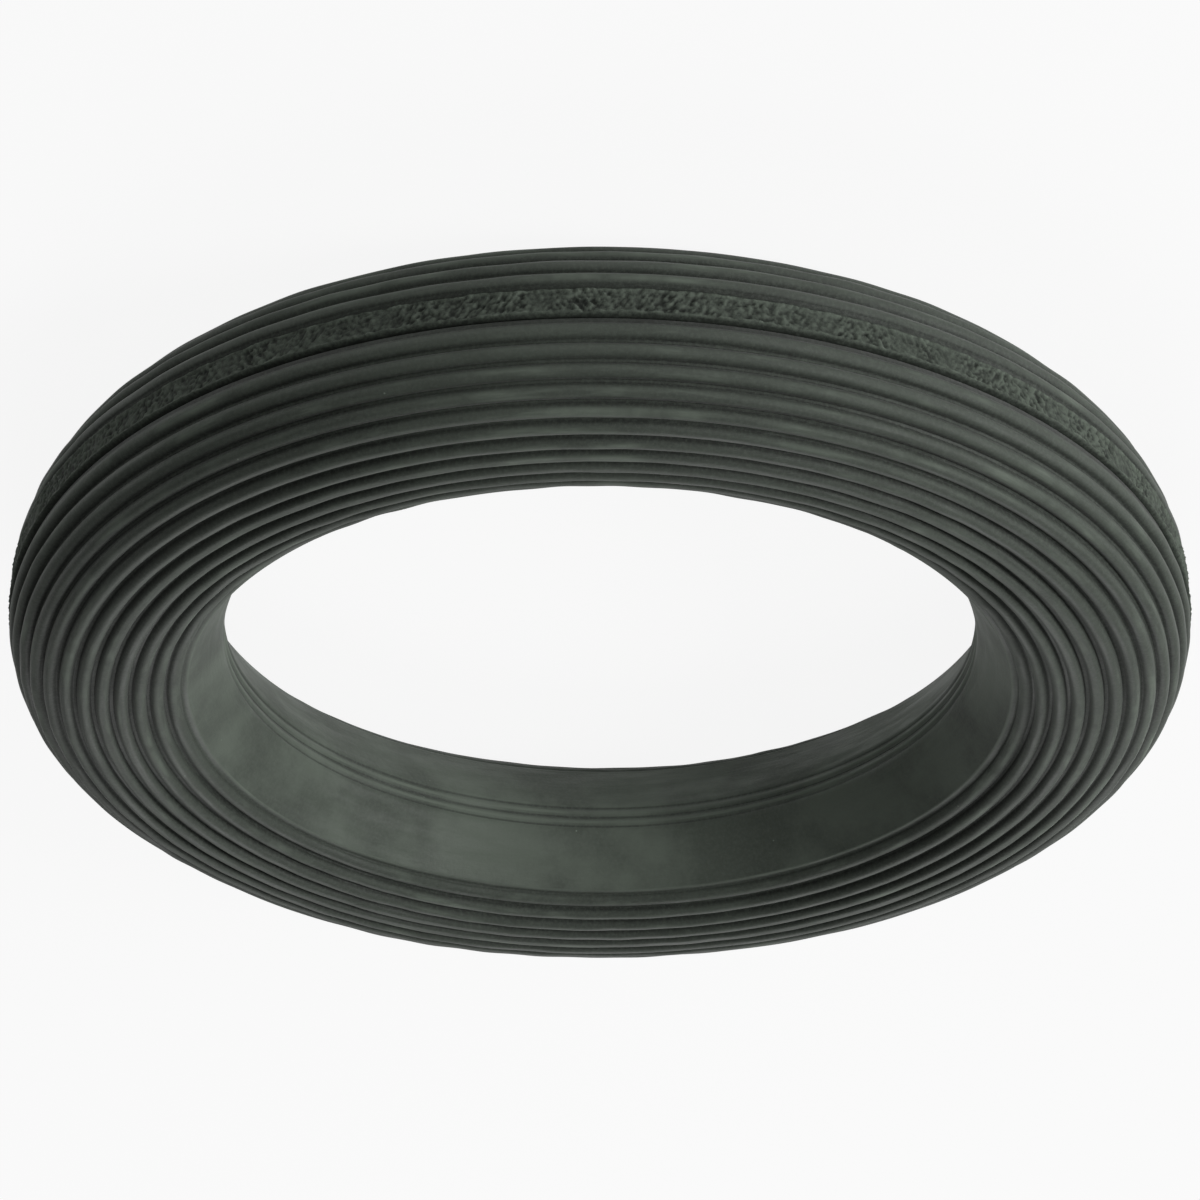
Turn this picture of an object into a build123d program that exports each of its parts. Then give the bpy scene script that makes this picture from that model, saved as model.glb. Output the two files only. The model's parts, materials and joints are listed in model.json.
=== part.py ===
from build123d import *
import math
import os

# A ribbed rubber sealing ring for a 4 inch closet (toilet) connection.
# Two moulded ribbed covers meet at mid height around a ring of soft sponge cord.
# Millimetres. The ring lies flat: +Z is its axis, and the origin is on that axis, on the
# plane that the lowest ribs stand on.

# Overall sizes
outer_diameter = 158.8     # over the rough band, the widest place
bore_diameter = 101.6      # through the straight land at mid height
height = 27.4              # between the narrow flats on the highest and lowest ribs

# Outline of the section, which the rib crests touch
outline_setback = 1.2      # how far outside the bore the outline, if it went on, would end
fullness = 2.35            # exponent of the outline: 2 is an ellipse, more is squarer
seal_flat_depth = 0.1      # dressed off the highest ribs, which leaves flats to seal on

# Rough band where the two covers were bonded and the overflow was buffed away
band_width = 2.6           # half of it on each cover
band_shoulder = 0.6        # slope from the band down to the first groove
first_groove = 1.0         # floor between that slope and the first rib

# Half-round ribs on the outside
rib_pitch = 2.6            # wanted spacing; the ribs share the outline out evenly
rib_width = 1.9
rib_height = 1.0

# Bore
mouth_flare = 4.2          # how much the bore's radius grows from the land to the mouth
mouth_depth = 3.8          # from the seal flats down to the edge of the mouth
rim_width = 0.6            # between the mouth's edge and the innermost rib
wall_bulge = 0.35          # how far the flared wall bellies in towards the axis
land_height = 3.0          # straight wall at mid height, half on each cover
joint_groove_width = 0.6   # small vee where the covers meet in the bore
joint_groove_depth = 0.3

# Sponge core
core_diameter = 18.0       # round channel that the two covers close around the core
bond_line = 0.1            # adhesive film between the core and its channel

outline_steps = 3000       # steps used to measure distance along the outline

outer_radius = outer_diameter / 2
bore_radius = bore_diameter / 2
mouth_radius = bore_radius + mouth_flare
mid_height = height / 2
outline_inner_radius = bore_radius + outline_setback
section_radius = (outer_radius + outline_inner_radius) / 2
half_breadth = outer_radius - section_radius
half_thickness = mid_height + seal_flat_depth

# The section is drawn from mid height up: its X is the radius and its Y the height above it.
section_plane = Plane(origin=(0, 0, mid_height), x_dir=(1, 0, 0), z_dir=(0, -1, 0))


def outline_point(angle):
    """Point of the section's outline; angle 0 is the widest place, 90 degrees is the top."""
    across = math.copysign(abs(math.cos(angle)) ** (2 / fullness), math.cos(angle))
    up = abs(math.sin(angle)) ** (2 / fullness)
    return Vector(section_radius + half_breadth * across, half_thickness * up)


def measure_outline():
    """Distances along the outline from the widest place, each with its point."""
    stations = [(0.0, outline_point(0.0))]
    for step in range(1, outline_steps + 1):
        point = outline_point(math.pi * step / outline_steps)
        distance = stations[-1][0] + (point - stations[-1][1]).length
        stations.append((distance, point))
    return stations


outline = measure_outline()


def outline_frame(distance):
    """Point, forward direction and outward direction at a distance along the outline."""
    index = next(i for i, station in enumerate(outline) if station[0] >= distance)
    index = max(1, min(index, len(outline) - 2))
    forward = (outline[index + 1][1] - outline[index - 1][1]).normalized()
    outward = Vector(forward.Y, -forward.X)
    return outline[index][1], forward, outward


def rib_stations():
    """Distances along the outline of every rib crest on one cover, from the band to the lip."""
    first = band_width / 2 + band_shoulder + first_groove + rib_width / 2
    lip_radius = mouth_radius + rim_width + rib_width / 2
    last = next(distance for distance, point in outline if point.X <= lip_radius)
    count = 1 + round((last - first) / rib_pitch)
    pitch = (last - first) / (count - 1)
    print(f"{count} ribs on each cover, {pitch:.3f} mm apart")
    return [first + pitch * number for number in range(count)]


def below(distance, depth):
    """Point that lies the given depth under the outline."""
    point, _, outward = outline_frame(distance)
    return point - outward * depth


stations = rib_stations()
shoulder_foot = below(band_width / 2 + band_shoulder, rib_height)
mouth_edge = Vector(mouth_radius, mid_height - mouth_depth)
land_top = Vector(bore_radius, land_height / 2)
wall_middle = (mouth_edge + land_top) / 2 - Vector(wall_bulge, 0)
joint_top = Vector(bore_radius, joint_groove_width / 2)
joint_root = Vector(bore_radius + joint_groove_depth, 0)
core_ring_radius = (outer_radius + bore_radius) / 2
channel_radius = core_diameter / 2
channel_inner = Vector(core_ring_radius - channel_radius, 0)
channel_top = Vector(core_ring_radius, channel_radius)
channel_outer = Vector(core_ring_radius + channel_radius, 0)

# Upper cover: half of the ring, ribbed outside, with half of the round channel inside
with BuildPart() as upper_ribbed_cover:
    with BuildSketch(section_plane):
        with BuildLine():
            band_edge = Vector(outer_radius, band_width / 2)
            Polyline(Vector(outer_radius, 0), band_edge, shoulder_foot)
            last_foot = shoulder_foot
            for station in stations:
                crest, forward, outward = outline_frame(station)
                near_foot = crest - outward * rib_height - forward * (rib_width / 2)
                far_foot = crest - outward * rib_height + forward * (rib_width / 2)
                Line(last_foot, near_foot)
                ThreePointArc(near_foot, crest, far_foot)
                last_foot = far_foot
            Line(last_foot, mouth_edge)
            ThreePointArc(mouth_edge, wall_middle, land_top)
            Polyline(land_top, joint_top, joint_root, channel_inner)
            ThreePointArc(channel_inner, channel_top, channel_outer)
            Line(channel_outer, Vector(outer_radius, 0))
        make_face()
    revolve(axis=Axis.Z)
    # Narrow flats on the highest ribs, which the bowl or the wall seals against
    split(bisect_by=Plane.XY.offset(height), keep=Keep.BOTTOM)

# Lower cover: the same moulding turned over
with BuildPart() as lower_ribbed_cover:
    mirror(upper_ribbed_cover.part, about=Plane.XY.offset(mid_height))

# Core: soft sponge cord bent into a ring, which lets the covers squash
with BuildPart() as sponge_core:
    with BuildSketch(section_plane):
        with Locations((core_ring_radius, 0)):
            Circle(channel_radius - bond_line)
    revolve(axis=Axis.Z)

pieces = {
    "upper_ribbed_cover": upper_ribbed_cover,
    "lower_ribbed_cover": lower_ribbed_cover,
    "sponge_core": sponge_core,
}

os.makedirs("parts", exist_ok=True)
for piece_name, piece in pieces.items():
    piece.part.label = piece_name
    export_step(piece.part, f"parts/{piece_name}.step")
    print(f"{piece_name}: {piece.part.volume / 1000:.2f} cubic centimetres")
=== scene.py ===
# %% [markdown]
# # A ribbed rubber seal for a toilet flange
# The real object is a thick ring of matte dark rubber. It is squeezed between the outlet of a
# toilet bowl and a closet flange, and each of its many round ribs makes a seal line. This
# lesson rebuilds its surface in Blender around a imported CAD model, which stays as it is. All
# sizes are in metres, in the frame of that model: the ring lies flat and +Z is its axis.

# %% Load the frame
import json
import math

import bpy
import numpy as np
from mathutils import Matrix, Vector


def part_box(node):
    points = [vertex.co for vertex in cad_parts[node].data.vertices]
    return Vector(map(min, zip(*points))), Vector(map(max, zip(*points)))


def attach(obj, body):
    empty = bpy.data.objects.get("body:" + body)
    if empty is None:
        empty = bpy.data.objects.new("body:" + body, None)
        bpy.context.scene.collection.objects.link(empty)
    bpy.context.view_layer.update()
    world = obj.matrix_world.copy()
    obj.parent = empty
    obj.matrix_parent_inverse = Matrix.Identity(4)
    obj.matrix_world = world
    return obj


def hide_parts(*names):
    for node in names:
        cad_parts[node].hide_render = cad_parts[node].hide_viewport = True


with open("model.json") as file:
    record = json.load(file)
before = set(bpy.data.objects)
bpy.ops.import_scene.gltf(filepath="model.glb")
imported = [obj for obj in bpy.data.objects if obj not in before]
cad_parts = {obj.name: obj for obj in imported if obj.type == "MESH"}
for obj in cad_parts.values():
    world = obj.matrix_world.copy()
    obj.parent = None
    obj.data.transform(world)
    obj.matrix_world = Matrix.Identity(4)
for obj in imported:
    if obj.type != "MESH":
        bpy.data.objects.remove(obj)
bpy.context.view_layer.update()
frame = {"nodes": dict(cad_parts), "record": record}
MM = 0.001
print("nodes:", sorted(frame["nodes"]))

# %% [markdown]
# ## The sizes that everything follows
# A seal is made to fit a pipe, so its sizes come first. The mounts in the record give the
# outside radius and the radius of the bore. The covers' boxes give the heights, and the core's
# box gives the round channel inside. The frame doesn't hold the sizes of the ribs and of the
# bore's mouth, so they repeat the values that the CAD model was built with.

# %% Read the sizes from the frame
core_low, core_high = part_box("sponge_core")
mounts = {mount["name"]: mount["dims"] for mount in frame["record"]["mounts"]}

OUTER_RADIUS = mounts["outside_fit"]["r_mm"] * MM
BAND_WIDTH = mounts["outside_fit"]["length_mm"] * MM
BORE_RADIUS = mounts["bore"]["r_mm"] * MM
FLOOR_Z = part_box("lower_ribbed_cover")[0].z
TOP_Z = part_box("upper_ribbed_cover")[1].z
MID_Z = (FLOOR_Z + TOP_Z) / 2
HALF_HEIGHT = TOP_Z - MID_Z
CORE_RADIUS = (core_high.z - core_low.z) / 2
CORE_RING_RADIUS = core_high.x - CORE_RADIUS
BOND_LINE = 0.1 * MM
CHANNEL_RADIUS = CORE_RADIUS + BOND_LINE

OUTLINE_INNER_RADIUS = 52.0 * MM
SECTION_RADIUS = (OUTER_RADIUS + OUTLINE_INNER_RADIUS) / 2
FULLNESS = 2.35
CREST_CUT = 0.1 * MM
RIB_COUNT = 12
RIB_WIDTH = 1.9 * MM
RIB_HEIGHT = 1.0 * MM
FIRST_RIB = 3.85 * MM
MOUTH_FLARE = 4.2 * MM
MOUTH_DEPTH = 3.8 * MM
RIM_WIDTH = 0.6 * MM
WALL_BULGE = 0.35 * MM
print(f"outside {2 * OUTER_RADIUS / MM:.1f} mm, bore {2 * BORE_RADIUS / MM:.1f} mm, "
      f"height {(TOP_Z - FLOOR_Z) / MM:.1f} mm")

# %% [markdown]
# ## The outline of the section
# Cut through the ring and you see a section that is a little squarer than an ellipse. That
# curve is a superellipse. It could be drawn as a Bezier curve by eye, but the formula keeps
# the ribs evenly spaced, because distance along it can be measured.

# %% Measure distance along the outline
OUTLINE_STEPS = 6000
turn = np.linspace(0.0, np.pi, OUTLINE_STEPS + 1)
across = np.sign(np.cos(turn)) * np.abs(np.cos(turn)) ** (2 / FULLNESS)
outline_r = SECTION_RADIUS + (OUTER_RADIUS - SECTION_RADIUS) * across
outline_z = (HALF_HEIGHT + CREST_CUT) * np.abs(np.sin(turn)) ** (2 / FULLNESS)
steps = np.hypot(np.diff(outline_r), np.diff(outline_z))
outline_s = np.concatenate([[0.0], np.cumsum(steps)])
DIRECTION_REACH = 0.05 * MM


def on_outline(distance):
    """The outline's radius and height above mid height, and its forward direction."""
    r = np.interp(distance, outline_s, outline_r)
    z = np.interp(distance, outline_s, outline_z)
    ahead = distance + DIRECTION_REACH
    dr = np.interp(ahead, outline_s, outline_r) - r
    dz = np.interp(ahead, outline_s, outline_z) - z
    length = math.hypot(dr, dz)
    return r, z, dr / length, dz / length


lip_radius = BORE_RADIUS + MOUTH_FLARE + RIM_WIDTH + RIB_WIDTH / 2
last_rib = float(outline_s[np.argmax(outline_r <= lip_radius)])
rib_places = np.linspace(FIRST_RIB, last_rib, RIB_COUNT)
print(f"{RIB_COUNT} ribs on each cover, {(rib_places[1] - rib_places[0]) / MM:.2f} mm apart")

# %% [markdown]
# ## The profile of one cover
# A cover is half of the ring. Its profile is a list of section points. Each point also carries
# what the finish needs to know: how near it is to the crest of a rib, which also sets how much
# painted shade it gets, how much it belongs to the bore, which way it leans, and how much room
# it gets on the flat map. A turned shape could use a Screw modifier, but then every turn would
# be the same, and moulded rubber is uneven.

# %% Collect the points of the profile
RIB_ARC = np.radians([-90, -72, -52, -34, -16, 0, 16, 34, 52, 72, 90])
FLOOR_SHARES = (0.25, 0.5, 0.75)
# The floor between two ribs gets a painted light line down its middle, with painted shade at its
# feet.
FLOOR_LIGHT_LINE = 0.55
# The ribs beside the bore and beside the seam are shallower on that side, and the crest values
# there set how much painted shade those sides get.
LIP_SINK = 0.55
LIP_CREST = 0.6
SEAM_SINK = 0.6
SEAM_CREST = 0.3
# A face that is never seen gets this share of its room on the flat map
HIDDEN = 0.05
profile = []


def add_point(r, z, crest=0.0, bore=0.0, lean=(1.0, 0.0), rib=-1, room=1.0):
    """Adds a section point: radius, height above mid height, and what the finish needs."""
    profile.append((r, z, crest, bore, lean[0], lean[1], rib, room))


def add_ribs():
    """Half-round ribs, with a narrow flat floor between them."""
    last_foot = None
    for number, place in enumerate(rib_places):
        r, z, forward_r, forward_z = on_outline(place)
        lean = (forward_z, -forward_r)
        for angle in RIB_ARC:
            side = RIB_WIDTH / 2 * math.sin(angle)
            sunk = RIB_HEIGHT * (1 - math.cos(angle))
            if number == RIB_COUNT - 1 and angle > 0:
                sunk *= LIP_SINK
            if number == 0 and angle < 0:
                sunk *= SEAM_SINK
            point_r = r + forward_r * side - lean[0] * sunk
            point_z = z + forward_z * side - lean[1] * sunk
            if last_foot and angle == RIB_ARC[0]:
                # The floor's crest values paint a light line down its middle and shade at its
                # feet.
                for share in FLOOR_SHARES:
                    floor_r = last_foot[0] + (point_r - last_foot[0]) * share
                    floor_z = last_foot[1] + (point_z - last_foot[1]) * share
                    add_point(floor_r, floor_z, FLOOR_LIGHT_LINE - abs(share - 0.5), lean=lean)
            crest = math.cos(angle)
            if number == RIB_COUNT - 1 and angle > 0:
                crest = LIP_CREST + (1 - LIP_CREST) * crest
            add_point(point_r, min(point_z, HALF_HEIGHT), crest, 0.0, lean, number)
        last_foot = (point_r, point_z)


# The strip under the rough seam, which a separate ring of torn rubber covers
SEAM_BED = 1.6 * MM
SEAM_BED_END = 2.1 * MM
SEAM_FOOT = 2.2 * MM
add_point(OUTER_RADIUS - SEAM_BED, 0.0, room=HIDDEN)
add_point(OUTER_RADIUS - SEAM_BED, SEAM_BED_END, room=HIDDEN)
foot_r, foot_z, forward_r, forward_z = on_outline(SEAM_FOOT)
foot_sunk = RIB_HEIGHT * SEAM_SINK
add_point(foot_r - foot_sunk * forward_z, foot_z + foot_sunk * forward_r, SEAM_CREST)
add_ribs()
print(f"{len(profile)} points up to the lip of the bore")

# %% [markdown]
# ## The bore
# The wall of the bore narrows from its mouth to a straight land at mid height. It bellies in
# a little, as rubber does over a curved mould. At the land each cover ends in a small round
# bead, and the joint between the covers lies in the hollow between the two beads.

# %% Add the wall, the bead and the hidden faces
MOUTH_Z = HALF_HEIGHT - MOUTH_DEPTH
MOUTH_RADIUS = BORE_RADIUS + MOUTH_FLARE
BEAD_Z = 0.75 * MM
BEAD_SPREAD = 0.4 * MM
BEAD_HEIGHT = 0.24 * MM
BEAD_START = 1.55 * MM
WALL_END = 1.75 * MM
WALL_SINK = 0.1 * MM
towards_axis = (-1.0, 0.0)

wall_mouth = np.array([MOUTH_RADIUS - 0.03 * MM, MOUTH_Z - 0.2 * MM])
wall_foot = np.array([BORE_RADIUS + WALL_SINK, WALL_END])
# The soft crease between the lip and the wall, with a painted dark line in the crease and a
# painted light line at the mouth's edge
add_point(MOUTH_RADIUS + 0.7 * MM, MOUTH_Z + 0.12 * MM, 0.45, 0.2, towards_axis)
add_point(MOUTH_RADIUS + 0.3 * MM, MOUTH_Z + 0.10 * MM, 0.8, 0.6, towards_axis)
add_point(MOUTH_RADIUS + 0.08 * MM, MOUTH_Z + 0.02 * MM, 0.9, 0.9, towards_axis)
for share in np.linspace(0.0, 1.0, 15):
    r, z = wall_mouth + (wall_foot - wall_mouth) * share
    belly = WALL_BULGE * 4 * share * (1 - share)
    add_point(r - belly, z, 0.3, 1.0, towards_axis)
# The beads' crest values paint shade beside each bead and in the hollow at the joint.
for z in np.linspace(BEAD_START, 0.0, 11):
    bead = math.exp(-(((z - BEAD_Z) / BEAD_SPREAD) ** 2))
    add_point(BORE_RADIUS + BEAD_HEIGHT * (1 - bead), z, bead, 1.0, towards_axis)
for angle in np.radians(np.linspace(180, 0, 9)):
    r = CORE_RING_RADIUS + CHANNEL_RADIUS * math.cos(angle)
    add_point(r, CHANNEL_RADIUS * math.sin(angle), room=HIDDEN)

profile = np.array(profile)
print(f"{len(profile)} points in the profile of a cover")

# %% [markdown]
# ## Turning a profile into a ring
# The mesh is written directly: one copy of the profile at each step around the axis, joined
# by four-sided faces into a closed ring. The flat map for the finish is written at the same
# time, as three rows that each unroll a third of the ring.

# %% Make a ring mesh
MAP_ROWS = 3
MAP_EDGE = 0.006


def flat_map(mesh, count, points, runs):
    """Unrolls the ring into rows, with the rows' height shared out by the profile's runs."""
    per_row = count // MAP_ROWS
    step, point = np.divmod(np.arange(count * points), points)
    row, place = np.divmod(step, per_row)
    along = np.stack([place, place + 1, place + 1, place], 1) / per_row
    up = np.stack([runs[point], runs[point], runs[point + 1], runs[point + 1]], 1)
    spread = 1 - 2 * MAP_EDGE
    u = MAP_EDGE + spread * along
    v = (row[:, None] + MAP_EDGE + spread * up) / MAP_ROWS
    layer = mesh.uv_layers.new(name="OFBake")
    layer.data.foreach_set("uv", np.stack([u, v], 2).astype(np.float32).ravel())


def ring_mesh(name, r, z, fields, room):
    """A closed ring from r and z, each steps by points, with float fields of the same shape."""
    count, points = r.shape
    angle = np.arange(count) * 2 * np.pi / count
    x = r * np.cos(angle)[:, None]
    y = r * np.sin(angle)[:, None]
    places = np.stack([x, y, z], 2).reshape(-1, 3)
    step, point = np.divmod(np.arange(count * points), points)
    next_step = (step + 1) % count
    next_point = (point + 1) % points
    corners = np.stack([step * points + point, next_step * points + point,
                        next_step * points + next_point, step * points + next_point], 1)
    mesh = bpy.data.meshes.new(name)
    mesh.from_pydata(places.tolist(), [], corners.tolist())
    mesh.polygons.foreach_set("use_smooth", np.ones(len(corners), bool))
    for field, values in fields.items():
        kind = "FLOAT" if values.ndim == 2 else "FLOAT_VECTOR"
        slot = "value" if values.ndim == 2 else "vector"
        attribute = mesh.attributes.new(field, kind, "POINT")
        attribute.data.foreach_set(slot, values.astype(np.float32).ravel())
    gaps = np.hypot(np.diff(r[0], append=r[0, 0]), np.diff(z[0], append=z[0, 0])) * room
    runs = np.concatenate([[0.0], np.cumsum(gaps)]) / gaps.sum()
    flat_map(mesh, count, points, runs)
    mesh.update()
    piece = bpy.data.objects.new(name, mesh)
    bpy.context.scene.collection.objects.link(piece)
    print(f"{name}: {len(places)} points, {len(corners)} faces")
    return piece


# %% [markdown]
# ## Unevenness
# Rubber shrinks as it cures and is pulled from a hot mould, so no rib is perfectly even. A sum
# of a few waves with seeded phases goes around the ring and meets itself, which plain noise
# would not do.

# %% Waves that go around the ring
rng = np.random.default_rng(41)
WAVE_SPREAD = 1.4


def waves(count, slowest, fastest, rows=1):
    """Smooth unevenness around the ring, about -1 to 1, one column for each thing that varies."""
    angle = np.arange(count) * 2 * np.pi / count
    total = np.zeros((count, rows))
    rates = np.arange(slowest, fastest + 1)
    for rate in rates:
        phase = rng.uniform(0, 2 * np.pi, rows)
        size = rng.normal(0, 1, rows)
        total += size * np.cos(rate * angle[:, None] + phase)
    return total / math.sqrt(len(rates)) / WAVE_SPREAD


# %% [markdown]
# ## The two covers
# Both covers come from the same mould, so the lower one is the upper one turned over. Each gets
# its own unevenness. The streak field winds the ring up tightly, so that a noise read from it
# is stretched along the ribs.

# %% Build the covers
COVER_STEPS = 480
SWELL = 0.09 * MM
RIB_SWELL = 0.06 * MM
STREAK_RADIUS = 8.0


def streak_field(count, runs):
    """Coordinates in millimetres that are short around the ring and true across it."""
    angle = np.arange(count) * 2 * np.pi / count
    field = np.empty((count, len(runs), 3))
    field[:, :, 0] = STREAK_RADIUS * np.cos(angle)[:, None]
    field[:, :, 1] = STREAK_RADIUS * np.sin(angle)[:, None]
    field[:, :, 2] = runs[None, :]
    return field


def build_cover(name, side):
    """One cover; side is 1 for the upper one and -1 for the lower one."""
    r, z, crest, bore, lean_r, lean_z, rib, room = profile.T
    count = COVER_STEPS
    swell = SWELL * waves(count, 2, 7)
    rib_swell = RIB_SWELL * waves(count, 5, 60, RIB_COUNT)
    of_rib = np.where(rib >= 0, rib, 0).astype(int)
    free = np.where(room < 1, 0.0, 1.0) * np.clip(np.abs(z) / (2 * MM), 0, 1)
    lift = free * swell + np.where(rib >= 0, crest, 0) * rib_swell[:, of_rib]
    ring_r = r + lift * lean_r
    ring_z = np.minimum(z + lift * lean_z, HALF_HEIGHT)
    runs = np.concatenate([[0.0], np.cumsum(np.hypot(np.diff(r), np.diff(z)))]) / MM
    fields = {
        "crest": np.tile(crest, (count, 1)),
        "bore": np.tile(bore, (count, 1)),
        "streak": streak_field(count, runs * side),
    }
    ring_z = MID_Z + side * ring_z
    if side < 0:
        ring_r, ring_z, room = ring_r[:, ::-1], ring_z[:, ::-1], np.roll(room[::-1], -1)
        fields = {key: values[:, ::-1] for key, values in fields.items()}
    cover = ring_mesh(name, ring_r, ring_z, fields, room)
    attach(cover, "root")
    return cover


upper_skin = build_cover("upper_cover_skin", 1)
lower_skin = build_cover("lower_cover_skin", -1)
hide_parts("upper_ribbed_cover")
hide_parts("lower_ribbed_cover")

# %% [markdown]
# ## The rough seam
# Where the covers meet on the outside, rubber squeezed out and was torn and buffed away. That
# leaves a rough strip: two ragged edges that stand proud, with a torn, fibrous hollow between.
# Bump alone would look painted on, so the tears are real relief. They are made by smearing
# seeded noise along a slanted line, which gives short fibres that all lean one way.

# %% Smear noise into slanted fibres
SEAM_STEPS = 2400
SEAM_POINTS = 19


def fibres(count, points, step_size, point_size, lean, length, width):
    """Noise about -1 to 1 on a wrapped strip, smeared along a line at the angle lean."""
    noise = rng.normal(0, 1, (count, points * 4))
    fu = np.fft.fftfreq(count, step_size)[:, None]
    fv = np.fft.fftfreq(points * 4, point_size)[None, :]
    along = fu * math.cos(lean) + fv * math.sin(lean)
    aside = -fu * math.sin(lean) + fv * math.cos(lean)
    keep = np.exp(-2 * (np.pi**2) * ((along * length) ** 2 + (aside * width) ** 2))
    field = np.real(np.fft.ifft2(np.fft.fft2(noise) * keep))[:, :points]
    return field / np.std(field)


# %% Build the seam
EDGE_Z = BAND_WIDTH / 2
LOW_EDGE_Z = -EDGE_Z - 0.4 * MM
HIGH_EDGE_Z = EDGE_Z + 0.3 * MM
EDGE_RISE = 0.16 * MM
HOLLOW = 0.16 * MM
TEAR = 0.12 * MM
SEAM_SINK_DEPTH = 0.06 * MM
DEEPEST_TEAR = 0.42 * MM
HIGHEST_FRAY = 0.16 * MM
FIBRE_LEANS = (58, 122)
FIBRE_LENGTH = 0.38
FIBRE_WIDTH = 0.085
# The strip's sides go down into the bed: how deep, how far out, and their painted shade in the
# relief field
SIDE_DEPTHS = np.array([0.35, 0.8, 1.35]) * MM
SIDE_SPREADS = np.array([0.12, 0.28, 0.42]) * MM
SIDE_SHADES = [-2.2, -1.3, -0.4]


def build_seam():
    """The torn strip of rubber over the joint, as a closed ring."""
    count = SEAM_STEPS
    face_z = np.linspace(LOW_EDGE_Z, HIGH_EDGE_Z, SEAM_POINTS)
    step_size = 2 * np.pi * OUTER_RADIUS / count / MM
    point_size = (face_z[1] - face_z[0]) / MM
    leans = [fibres(count, SEAM_POINTS, step_size, point_size, math.radians(lean),
                    FIBRE_LENGTH, FIBRE_WIDTH) for lean in FIBRE_LEANS]
    grain = fibres(count, SEAM_POINTS, step_size, point_size, 0.0, 0.16, 0.12)
    choice = np.clip(0.5 + 0.9 * waves(count, 3, 40), 0, 1)
    depth = np.clip(0.75 + 0.45 * waves(count, 2, 90), 0.35, 1.3)
    torn = (leans[0] * choice + leans[1] * (1 - choice)) * 0.7 + grain * 0.7
    across = np.abs(np.linspace(-1, 1, SEAM_POINTS))
    inside = np.clip((1 - across) * 4, 0, 1) ** 0.5
    edge = np.exp(-(((across - 0.9) / 0.12) ** 2))
    ragged = 0.55 + 0.5 * waves(count, 20, 260, SEAM_POINTS)
    relief = depth * torn * (0.35 + 0.65 * inside)
    lift = TEAR * relief - HOLLOW * inside * (0.5 + 0.5 * depth)
    lift = lift + EDGE_RISE * edge * np.clip(ragged, -0.3, 1.4)
    wander = 0.10 * MM * waves(count, 8, 120) + 0.05 * MM * waves(count, 60, 400)
    r = OUTER_RADIUS - SEAM_SINK_DEPTH + np.clip(lift, -DEEPEST_TEAR, HIGHEST_FRAY)
    z = face_z + wander * np.sign(face_z) * across**4
    side_r = np.tile(OUTER_RADIUS - SIDE_DEPTHS, (count, 1))
    low_z = np.tile(LOW_EDGE_Z - SIDE_SPREADS[::-1], (count, 1))
    high_z = np.tile(HIGH_EDGE_Z + SIDE_SPREADS, (count, 1))
    r = np.concatenate([side_r[:, ::-1], r, side_r], 1)
    z = np.concatenate([low_z, z, high_z], 1)
    pad = np.zeros((count, len(SIDE_DEPTHS)))
    shade = np.tile(SIDE_SHADES, (count, 1))
    rough = np.concatenate([shade, relief, shade[:, ::-1]], 1)
    edge_field = np.tile(np.concatenate([pad[0], edge, pad[0]]), (count, 1))
    edge_field *= np.concatenate([pad, np.clip(ragged, 0, 1.4), pad], 1)
    room = np.ones(r.shape[1])
    room[-1] = HIDDEN
    fields = {"relief": rough, "edge": edge_field,
              "streak": streak_field(count, z[0] / MM)}
    seam = ring_mesh("buffed_seam", r, MID_Z + z, fields, room)
    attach(seam, "root")
    return seam


seam = build_seam()

# %% [markdown]
# ## The finish of moulded rubber
# Cured rubber is matte and nearly black, with a green-grey cast. Its colour has painted shade
# in the grooves and creases, lighter crests with dust streaks that are partly painted highlight,
# and pale clouds on the wall of the bore. Every layer is a pattern worked out from the piece's
# own coordinates, so the finish stays on the rubber when the camera moves. A few helpers keep
# the node trees short.

# %% Helpers for node trees
def new_material(name):
    """An empty material, with its node tree, its shader and the shader's output joined."""
    material = bpy.data.materials.new(name)
    material.use_nodes = True
    tree = material.node_tree
    tree.nodes.clear()
    shader = tree.nodes.new("ShaderNodeBsdfPrincipled")
    output = tree.nodes.new("ShaderNodeOutputMaterial")
    tree.links.new(shader.outputs["BSDF"], output.inputs["Surface"])
    return material, tree, shader


def put(tree, socket, value):
    """Links a socket to a node's output, or sets its plain value."""
    if isinstance(value, bpy.types.NodeSocket):
        tree.links.new(value, socket)
    else:
        socket.default_value = value


def field(tree, name, output="Fac"):
    """Reads a field that the mesh carries."""
    node = tree.nodes.new("ShaderNodeAttribute")
    node.attribute_name = name
    return node.outputs[output]


def maths(tree, operation, first, second=0.0, third=0.0):
    """A sum, product or other operation on up to three values."""
    node = tree.nodes.new("ShaderNodeMath")
    node.operation = operation
    for socket, value in zip(node.inputs, (first, second, third)):
        put(tree, socket, value)
    return node.outputs["Value"]


def fade(tree, value, start, end, low=0.0, high=1.0):
    """Goes from low to high, smoothly, as value goes from start to end."""
    node = tree.nodes.new("ShaderNodeMapRange")
    node.interpolation_type = "SMOOTHSTEP"
    for key, number in (("From Min", start), ("From Max", end), ("To Min", low), ("To Max", high)):
        node.inputs[key].default_value = number
    put(tree, node.inputs["Value"], value)
    return node.outputs["Result"]


def millimetres(tree):
    """The piece's own coordinates in millimetres."""
    node = tree.nodes.new("ShaderNodeTexCoord")
    scale = tree.nodes.new("ShaderNodeVectorMath")
    scale.operation = "SCALE"
    scale.inputs["Scale"].default_value = 1 / MM
    tree.links.new(node.outputs["Object"], scale.inputs[0])
    return scale.outputs["Vector"]


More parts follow.
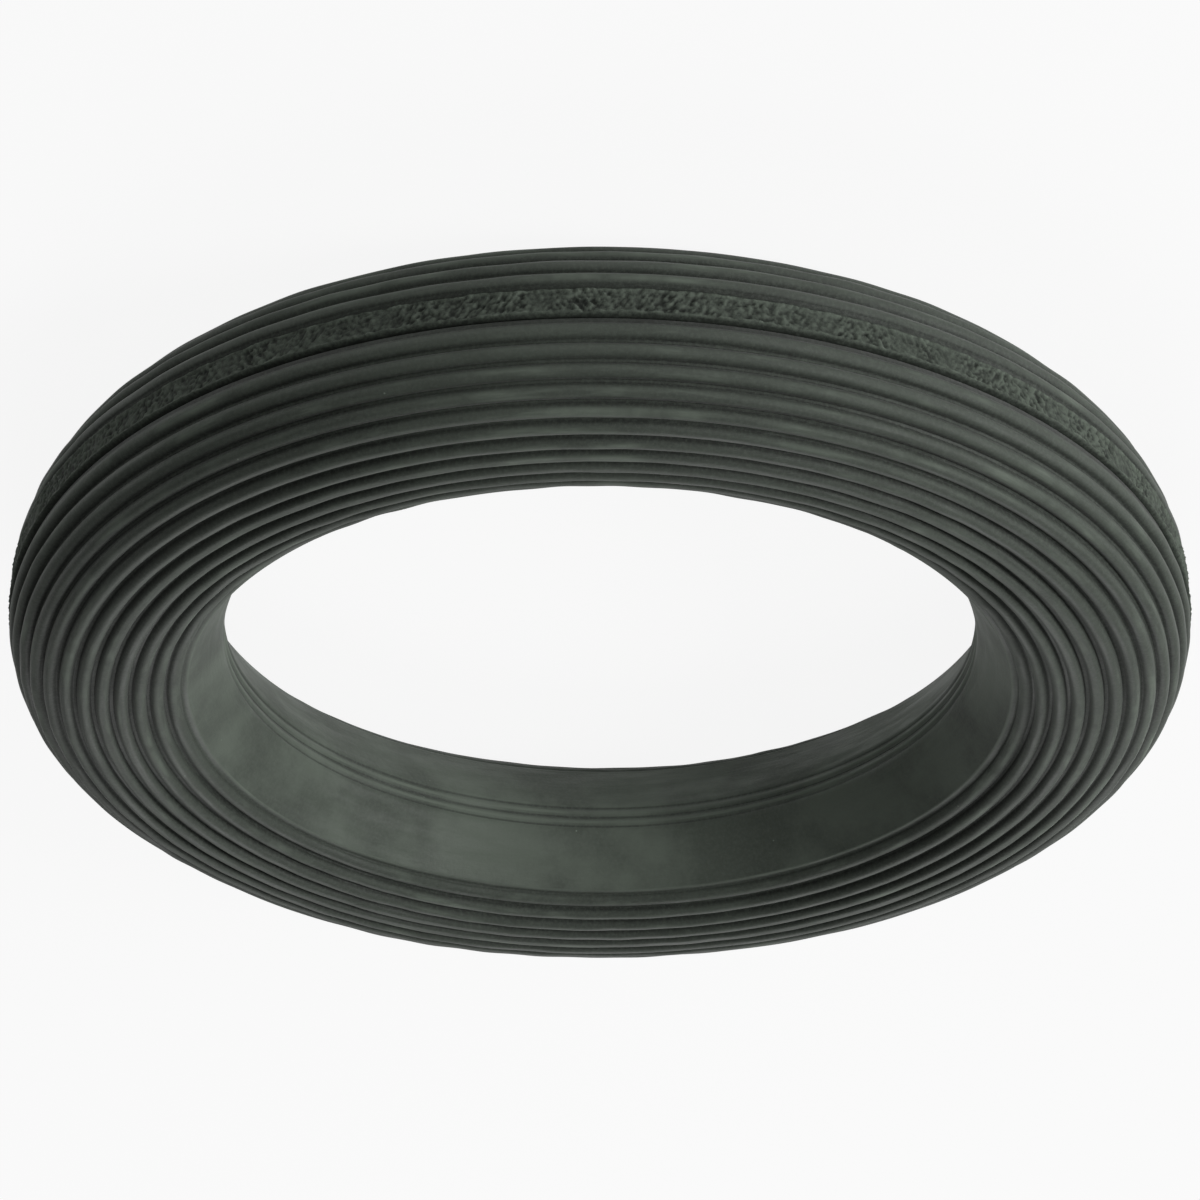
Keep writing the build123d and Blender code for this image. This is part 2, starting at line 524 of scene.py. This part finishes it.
def noise(tree, place, size, detail=3.0, rough=0.55, shift=0.0):
    """Noise with features about size millimetres across; shift moves it to a fresh place."""
    move = tree.nodes.new("ShaderNodeVectorMath")
    move.operation = "ADD"
    put(tree, move.inputs[0], place)
    move.inputs[1].default_value = (shift, shift * 1.7, shift * 0.6)
    node = tree.nodes.new("ShaderNodeTexNoise")
    node.inputs["Scale"].default_value = 1 / size
    node.inputs["Detail"].default_value = detail
    node.inputs["Roughness"].default_value = rough
    tree.links.new(move.outputs["Vector"], node.inputs["Vector"])
    return node.outputs["Fac"]


def specks(tree, place, spacing, radius):
    """Small round specks, radius in millimetres, one in each cell of about spacing."""
    node = tree.nodes.new("ShaderNodeTexVoronoi")
    node.inputs["Scale"].default_value = 1 / spacing
    put(tree, node.inputs["Vector"], place)
    return fade(tree, node.outputs["Distance"], 0.4 * radius / spacing, radius / spacing, 1, 0)


def blend(tree, share, first, second):
    """Mixes two colours."""
    node = tree.nodes.new("ShaderNodeMix")
    node.data_type = "RGBA"
    put(tree, node.inputs["Factor"], share)
    put(tree, node.inputs["A"], first)
    put(tree, node.inputs["B"], second)
    return node.outputs["Result"]


def bump(tree, height, depth, below=None):
    """Small relief, depth in millimetres, on top of another bump if one is given."""
    node = tree.nodes.new("ShaderNodeBump")
    node.inputs["Strength"].default_value = 1.0
    node.inputs["Distance"].default_value = depth * MM
    put(tree, node.inputs["Height"], height)
    if below is not None:
        tree.links.new(below, node.inputs["Normal"])
    return node.outputs["Normal"]


# %% [markdown]
# ## The ribbed covers
# The covers' rubber is built in layers: painted shade in the grooves that fades to lighter
# crests, broad pale patches, dust streaks along the ribs that lighten only the crests and so are
# partly painted highlight, a fine grain, clouds in the bore with a painted highlight on its beads
# and mouth, and last a few pale specks.

# %% Colours of the rubber
def grey_green(level):
    """Rubber of a given lightness: a grey that leans to green."""
    return (level * 0.89, level * 1.07, level * 0.865, 1.0)


# The darkest colour is painted shade: in the grooves, the creases and the seam's pits.
GROOVE_SHADE = grey_green(0.020)
CREST = grey_green(0.054)
BLOOM = grey_green(0.105)
# Laid only on the crests, this dust colour is partly painted highlight.
DUST_AND_HIGHLIGHT = grey_green(0.165)
# The cloud colour is also the painted highlight on the seam's high places.
CLOUD_AND_HIGHLIGHT = grey_green(0.137)
# The seam's lighter colour: grit grain, and painted highlight where the relief is high.
GRAIN_AND_HIGHLIGHT = grey_green(0.108)
# The pale colour is painted highlight on the beads, the mouth's edge and the seam's ragged edges.
PALE = grey_green(0.16)
SPECK = grey_green(0.30)
print(f"rubber from {GROOVE_SHADE[1]:.3f} to {SPECK[1]:.3f} in green")


# %% Make the covers' rubber
def cover_rubber():
    """Moulded rubber: painted shade in grooves, dust and painted highlight on crests, bore clouds.
    """
    material, tree, shader = new_material("moulded_rubber")
    place = millimetres(tree)
    streak = field(tree, "streak", "Vector")
    crest = field(tree, "crest")
    bore = field(tree, "bore")

    broad = noise(tree, place, 26, 2.0, 0.5)
    # Painted shade: the crest value darkens the grooves and creases and leaves the crests lighter.
    colour = blend(tree, fade(tree, crest, 0.05, 0.98), GROOVE_SHADE, CREST)
    colour = blend(tree, fade(tree, broad, 0.45, 0.75, 0.0, 0.22), colour, BLOOM)

    dusty = noise(tree, streak, 2.2, 5.0, 0.62)
    patchy = noise(tree, place, 9, 3.0, 0.6, 40)
    # Dust streaks kept to the crests: partly dust, partly painted highlight on the crests.
    crest_dust_and_highlight = maths(tree, "MULTIPLY", fade(tree, dusty, 0.46, 0.68), fade(tree, patchy, 0.35, 0.65))
    crest_dust_and_highlight = maths(tree, "MULTIPLY", crest_dust_and_highlight, fade(tree, crest, 0.55, 1.0, 0.0, 0.85))
    colour = blend(tree, crest_dust_and_highlight, colour, DUST_AND_HIGHLIGHT)
    grain = noise(tree, place, 0.5, 4.0, 0.75, 7)
    colour = blend(tree, fade(tree, grain, 0.38, 0.72, 0.0, 0.45), colour, BLOOM)

    cloudy = noise(tree, place, 13, 5.0, 0.58, 90)
    clouds = fade(tree, cloudy, 0.36, 0.66, 0.38, 0.88)
    clouds = maths(tree, "MULTIPLY", clouds, fade(tree, crest, 0.0, 0.28, 0.25, 1.0))
    colour = blend(tree, maths(tree, "MULTIPLY", clouds, bore), colour, CLOUD_AND_HIGHLIGHT)
    # Painted highlight on the beads and the mouth's edge, broken into streaks.
    bead_and_mouth_highlight = maths(tree, "MULTIPLY", bore, fade(tree, crest, 0.45, 0.95))
    bead_and_mouth_highlight = maths(tree, "MULTIPLY", bead_and_mouth_highlight, fade(tree, dusty, 0.35, 0.65, 0.15, 0.75))
    colour = blend(tree, bead_and_mouth_highlight, colour, PALE)

    dots = specks(tree, place, 6.5, 0.16)
    colour = blend(tree, maths(tree, "MULTIPLY", dots, 0.5), colour, SPECK)
    put(tree, shader.inputs["Base Color"], colour)

    put(tree, shader.inputs["Roughness"], fade(tree, dusty, 0.3, 0.7, 0.58, 0.80))
    shader.inputs["Specular IOR Level"].default_value = 0.40
    shader.inputs["Sheen Weight"].default_value = 0.12
    shader.inputs["Sheen Roughness"].default_value = 0.45
    fine = bump(tree, noise(tree, place, 0.45, 3.0, 0.6), 0.035)
    drawn = bump(tree, noise(tree, streak, 0.7, 3.0, 0.6, 15), 0.05, fine)
    put(tree, shader.inputs["Normal"], drawn)
    return material


rubber = cover_rubber()
for skin in (upper_skin, lower_skin):
    skin.data.materials.append(rubber)
print(f"{rubber.name}: {len(rubber.node_tree.nodes)} nodes")

# %% [markdown]
# ## Torn rubber on the seam
# Torn rubber is as dark as the rest, but its ragged high places catch the light and its pits
# hold shadow. The relief that the mesh carries paints this into the colour: painted highlight on
# the high places and painted shade in the pits.

# %% Make the seam's rubber
def seam_rubber():
    """Torn, buffed rubber: painted highlight on edges and high places, painted shade in pits."""
    material, tree, shader = new_material("torn_rubber")
    place = millimetres(tree)
    relief = field(tree, "relief")
    edge = field(tree, "edge")
    grit = noise(tree, place, 0.55, 4.0, 0.7)
    # Painted light: high relief makes the colour lighter, low relief and the strip's sides darker.
    tone = maths(tree, "MULTIPLY_ADD", grit, 4.5, relief)
    colour = blend(tree, fade(tree, tone, 0.6, 3.9), GROOVE_SHADE, GRAIN_AND_HIGHLIGHT)
    pale = maths(tree, "MULTIPLY", fade(tree, relief, 0.5, 2.0), fade(tree, grit, 0.45, 0.75))
    colour = blend(tree, maths(tree, "MULTIPLY", pale, 0.7), colour, CLOUD_AND_HIGHLIGHT)
    # Painted highlight on the proud ragged edges, broken up by grit.
    edge_highlight = maths(tree, "MULTIPLY", edge, fade(tree, grit, 0.35, 0.7, 0.35, 0.95))
    colour = blend(tree, edge_highlight, colour, PALE)
    put(tree, shader.inputs["Base Color"], colour)
    put(tree, shader.inputs["Roughness"], fade(tree, grit, 0.3, 0.7, 0.65, 0.9))
    shader.inputs["Specular IOR Level"].default_value = 0.25
    put(tree, shader.inputs["Normal"], bump(tree, grit, 0.09))
    return material


torn = seam_rubber()
seam.data.materials.append(torn)
print(f"{torn.name}: {len(torn.node_tree.nodes)} nodes")

# %% [markdown]
# ## The sponge core
# The core is closed inside the covers. Its CAD shape is right as it stands, so it only gets a
# finish: black sponge whose small closed cells show as pits.

# %% Make the core's sponge
def sponge():
    """Black closed-cell sponge with small pits."""
    cell_size = 0.8
    dark = (0.018, 0.018, 0.019, 1)
    light = (0.040, 0.040, 0.042, 1)
    material, tree, shader = new_material("closed_cell_sponge")
    place = millimetres(tree)
    cells = tree.nodes.new("ShaderNodeTexVoronoi")
    cells.inputs["Scale"].default_value = 1 / cell_size
    tree.links.new(place, cells.inputs["Vector"])
    pits = cells.outputs["Distance"]
    grain = noise(tree, place, 3.0)
    colour = blend(tree, fade(tree, grain, 0.3, 0.7), dark, light)
    put(tree, shader.inputs["Base Color"], colour)
    put(tree, shader.inputs["Roughness"], fade(tree, pits, 0.0, 0.6, 0.95, 0.8))
    put(tree, shader.inputs["Normal"], bump(tree, pits, 0.15))
    return material


core = frame["nodes"]["sponge_core"]
core.data.materials.clear()
core.data.materials.append(sponge())
print(f"{core.name} is finished as {core.data.materials[0].name}")

# %% [markdown]
# ## Floor and light
# Dark rubber shows its shape by soft light from one side. The strongest lamp stands on one
# side, a large high one lights the far ribs, and a low one in front reaches the wall of the
# bore. The world fills the shadows. The pale floor adds a little light of its own to what the
# camera sees, so that it reads as white and still keeps the ring's shadow.

# %% Make the floor
def add_floor():
    """A wide pale disc under the ring."""
    points = 96
    reach = 3.0
    glow_share = 0.90
    angle = np.arange(points) * 2 * np.pi / points
    rim = [(reach * math.cos(a), reach * math.sin(a), FLOOR_Z) for a in angle]
    mesh = bpy.data.meshes.new("floor")
    mesh.from_pydata(rim, [], [tuple(range(points))])
    floor = bpy.data.objects.new("floor", mesh)
    bpy.context.scene.collection.objects.link(floor)
    material, tree, shader = new_material("pale_floor")
    shader.inputs["Base Color"].default_value = (0.80, 0.80, 0.80, 1)
    shader.inputs["Roughness"].default_value = 0.9
    shader.inputs["Specular IOR Level"].default_value = 0.1
    glow = tree.nodes.new("ShaderNodeEmission")
    path = tree.nodes.new("ShaderNodeLightPath")
    mix = tree.nodes.new("ShaderNodeMixShader")
    seen = maths(tree, "MAXIMUM", path.outputs["Is Camera Ray"], path.outputs["Is Glossy Ray"])
    seen = maths(tree, "MAXIMUM", seen, path.outputs["Is Transmission Ray"])
    tree.links.new(maths(tree, "MULTIPLY", seen, glow_share), mix.inputs["Fac"])
    tree.links.new(shader.outputs["BSDF"], mix.inputs[1])
    tree.links.new(glow.outputs["Emission"], mix.inputs[2])
    output = next(node for node in tree.nodes if node.type == "OUTPUT_MATERIAL")
    tree.links.new(mix.outputs["Shader"], output.inputs["Surface"])
    mesh.materials.append(material)
    return floor


floor = add_floor()
print(f"floor at height {floor.data.vertices[0].co.z:.4f} m")


# %% Light the ring
def add_lamp(name, place, size, watts):
    """A square soft lamp that faces the middle of the ring."""
    light = bpy.data.lights.new(name, "AREA")
    light.size = size
    light.energy = watts
    lamp = bpy.data.objects.new(name, light)
    lamp.location = place
    aim = Vector((0, 0, MID_Z)) - Vector(place)
    lamp.rotation_euler = aim.to_track_quat("-Z", "Y").to_euler()
    bpy.context.scene.collection.objects.link(lamp)
    print(f"{name}: {size} m wide, {watts} W")


add_lamp("side_lamp", (-0.64, -0.27, 0.28), 0.26, 3.4)
add_lamp("back_lamp", (-0.02, 0.70, 0.54), 0.45, 2.8)
add_lamp("front_lamp", (-0.36, -0.68, 0.10), 0.36, 1.2)

FILL_LIGHT = 0.165
world = bpy.data.worlds.new("studio")
bpy.context.scene.world = world
world.use_nodes = True
sky = world.node_tree
background = sky.nodes["Background"]
path = sky.nodes.new("ShaderNodeLightPath")
level = sky.nodes.new("ShaderNodeMapRange")
level.inputs["To Min"].default_value = FILL_LIGHT
level.inputs["To Max"].default_value = 1.0
sky.links.new(path.outputs["Is Camera Ray"], level.inputs["Value"])
sky.links.new(level.outputs["Result"], background.inputs["Strength"])
background.inputs["Color"].default_value = (1, 1, 1, 1)

# %% [markdown]
# ## The camera
# The camera stands above the ring and looks down at about thirty degrees, and it is turned
# upside down, so that the near side of the ring is at the top of the picture. A long lens
# keeps the far side nearly as large as the near side.

# %% Place the camera
ELEVATION = math.radians(30.43)
DISTANCE = 6.26 * OUTER_RADIUS
LENS = 109.8
SENSOR = 36.0
AIM_DROP = math.radians(0.672)
TILT = math.radians(0.23)

scene = bpy.context.scene
centre = Vector((0, 0, MID_Z))
camera_data = bpy.data.cameras.new("camera")
camera_data.lens = LENS
camera_data.sensor_width = SENSOR
camera_data.clip_start = 0.01
camera = bpy.data.objects.new("camera", camera_data)
scene.collection.objects.link(camera)
backwards = Vector((0, -math.cos(ELEVATION), math.sin(ELEVATION)))
upright = Vector((0, math.sin(ELEVATION), math.cos(ELEVATION)))
place = centre + backwards * DISTANCE
ahead = (-backwards * math.cos(AIM_DROP) - upright * math.sin(AIM_DROP)).normalized()
up = -(upright - ahead * upright.dot(ahead)).normalized()
up = Matrix.Rotation(-TILT, 3, ahead) @ up
right = ahead.cross(up)
turned = Matrix((right, up, -ahead)).transposed().to_4x4()
camera.matrix_world = Matrix.Translation(place) @ turned
scene.camera = camera
scene.view_settings.view_transform = "Standard"
print(f"camera {DISTANCE * 1000:.0f} mm from the middle of the ring")
